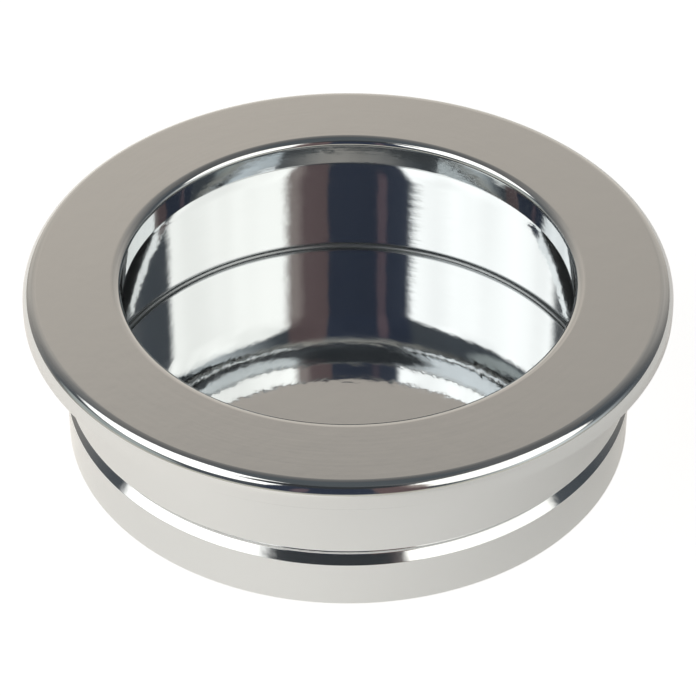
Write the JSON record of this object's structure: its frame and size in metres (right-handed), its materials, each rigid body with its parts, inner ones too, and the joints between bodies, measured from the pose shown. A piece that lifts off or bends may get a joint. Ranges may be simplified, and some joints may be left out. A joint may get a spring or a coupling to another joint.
{
  "type": "recessed pull handle",
  "caption": "Round flush pull for a sliding door: a polished flange round an undercut finger cup, with a grooved body that sits in a drilled hole.",
  "frame": {"origin": "centre of the closed bottom, on the axis of the turning", "axes": "+Z along the axis, from the closed bottom out of the cup's mouth; round about Z, so X and Y are free"},
  "size_m": [0.05, 0.05, 0.0142],
  "materials": {
    "polished_chrome": "mirror-polished chrome over turned brass"
  },
  "bodies": {
    "root": {"pull_cup": "polished_chrome"}
  },
  "joints": []
}
